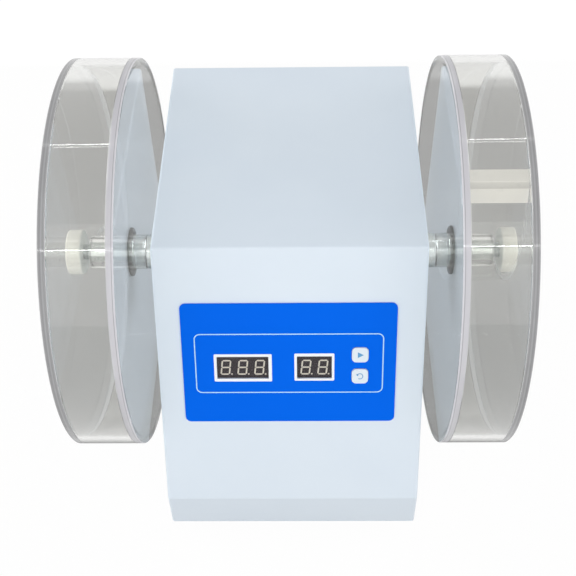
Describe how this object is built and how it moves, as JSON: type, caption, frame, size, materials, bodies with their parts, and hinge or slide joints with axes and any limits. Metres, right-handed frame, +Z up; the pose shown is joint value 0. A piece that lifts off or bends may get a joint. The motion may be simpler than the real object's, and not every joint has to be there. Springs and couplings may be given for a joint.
{
  "type": "tablet friability tester",
  "caption": "Bench tester with clear drums on a common shaft, each with a curved baffle, driven from a steel housing with a sloping keypad front.",
  "frame": {"origin": "on the floor, in the middle of the whole", "axes": "+X to the right along the drum shaft, -Y is the front with the keypad, +Z up"},
  "size_m": [0.345, 0.2993, 0.3246],
  "materials": {
    "black_plastic": "moulded",
    "blue_film": "satin film",
    "brass": "machined",
    "bright_steel": "turned, bright",
    "cast_alloy": "cast",
    "circuit_board": "green laminate",
    "clear_acrylic": "clear, polished",
    "cream_nylon": "cream, turned",
    "dark_rubber": "dull",
    "key_white": "satin",
    "lamination": "varnished laminations",
    "motor_grey": "satin grey",
    "painted_steel": "satin pale blue-white paint",
    "smoked_pane": "smoked, glossy",
    "zinc_steel": "zinc plated"
  },
  "bodies": {
    "housing": {"base_plate": "zinc_steel", "bearing_left": "bright_steel", "bearing_right": "bright_steel", "bearing_upright_left": "zinc_steel", "bearing_upright_right": "zinc_steel", "control_board": "circuit_board", "count_digits": "black_plastic", "count_window": "smoked_pane", "foot_front_left": "dark_rubber", "foot_front_right": "dark_rubber", "foot_rear_left": "dark_rubber", "foot_rear_right": "dark_rubber", "front_board": "circuit_board", "gearbox": "cast_alloy", "housing_shell": "painted_steel", "mains_inlet": "black_plastic", "membrane_panel": "blue_film", "motor": "motor_grey", "motor_bracket": "zinc_steel", "photo_sensor": "black_plastic", "rear_panel": "painted_steel", "reset_switch": "black_plastic", "rocker_frame": "black_plastic", "sensor_bracket": "zinc_steel", "shaft_seal_left": "dark_rubber", "shaft_seal_right": "dark_rubber", "speed_digits": "black_plastic", "speed_window": "smoked_pane", "start_switch": "black_plastic", "transformer": "lamination"},
    "rotor": {"drive_flange_left": "bright_steel", "drive_flange_right": "bright_steel", "drive_gear": "zinc_steel", "drum_back_plate_left": "clear_acrylic", "drum_back_plate_right": "clear_acrylic", "drum_baffle_left": "clear_acrylic", "drum_baffle_right": "clear_acrylic", "drum_hub_left": "clear_acrylic", "drum_hub_right": "clear_acrylic", "drum_ring_left": "clear_acrylic", "drum_ring_right": "clear_acrylic", "encoder_disc": "black_plastic", "main_shaft": "bright_steel"},
    "motor_output": {"pinion": "brass", "output_shaft": "bright_steel"},
    "lid_left": {"drum_lid_left": "clear_acrylic"},
    "nut_left": {"lock_nut_left": "cream_nylon"},
    "lid_right": {"drum_lid_right": "clear_acrylic"},
    "nut_right": {"lock_nut_right": "cream_nylon"},
    "start_key": {"start_key": "key_white"},
    "reset_key": {"reset_key": "key_white"},
    "power_rocker": {"power_rocker": "black_plastic"},
    "fuse_drawer": {"fuse_drawer": "black_plastic"}
  },
  "joints": [
    {"name": "drum_spin", "type": "hinge", "parent": "housing", "child": "rotor", "pos_m": [0, -0.00165, 0.1766], "axis": [1, 0, 0], "continuous": true},
    {"name": "motor_output_spin", "type": "hinge", "parent": "housing", "child": "motor_output", "pos_m": [0.04, -0.00165, 0.1135], "axis": [1, 0, 0], "continuous": true},
    {"name": "lid_slide_left", "type": "slide", "parent": "rotor", "child": "lid_left", "axis": [-1, 0, 0], "range_m": [0, 0.02]},
    {"name": "nut_turn_left", "type": "hinge", "parent": "lid_left", "child": "nut_left", "pos_m": [-0.1605, -0.00165, 0.1766], "axis": [-1, 0, 0], "range_deg": [0, 3600]},
    {"name": "lid_slide_right", "type": "slide", "parent": "rotor", "child": "lid_right", "axis": [1, 0, 0], "range_m": [0, 0.02]},
    {"name": "nut_turn_right", "type": "hinge", "parent": "lid_right", "child": "nut_right", "pos_m": [0.1605, -0.00165, 0.1766], "axis": [1, 0, 0], "range_deg": [0, 3600]},
    {"name": "start_key_press", "type": "slide", "parent": "housing", "child": "start_key", "axis": [0, 0.9135, -0.4067], "range_m": [0, 0.0005], "stiffness_N_per_m": 4000},
    {"name": "reset_key_press", "type": "slide", "parent": "housing", "child": "reset_key", "axis": [0, 0.9135, -0.4067], "range_m": [0, 0.0005], "stiffness_N_per_m": 4000},
    {"name": "rocker_tip", "type": "hinge", "parent": "housing", "child": "power_rocker", "pos_m": [-0.004, 0.14225, 0.0634], "axis": [1, 0, 0], "range_deg": [-20, 0]},
    {"name": "fuse_drawer_slide", "type": "slide", "parent": "housing", "child": "fuse_drawer", "axis": [0, 1, 0], "range_m": [0, 0.018]}
  ],
  "couplings": [
    {"joint": "motor_output_spin", "follows": "drum_spin", "ratio": -2.5},
    {"joint": "nut_turn_left", "follows": "lid_slide_left", "rad_per_m": 3141.6},
    {"joint": "nut_turn_right", "follows": "lid_slide_right", "rad_per_m": 3141.6}
  ]
}
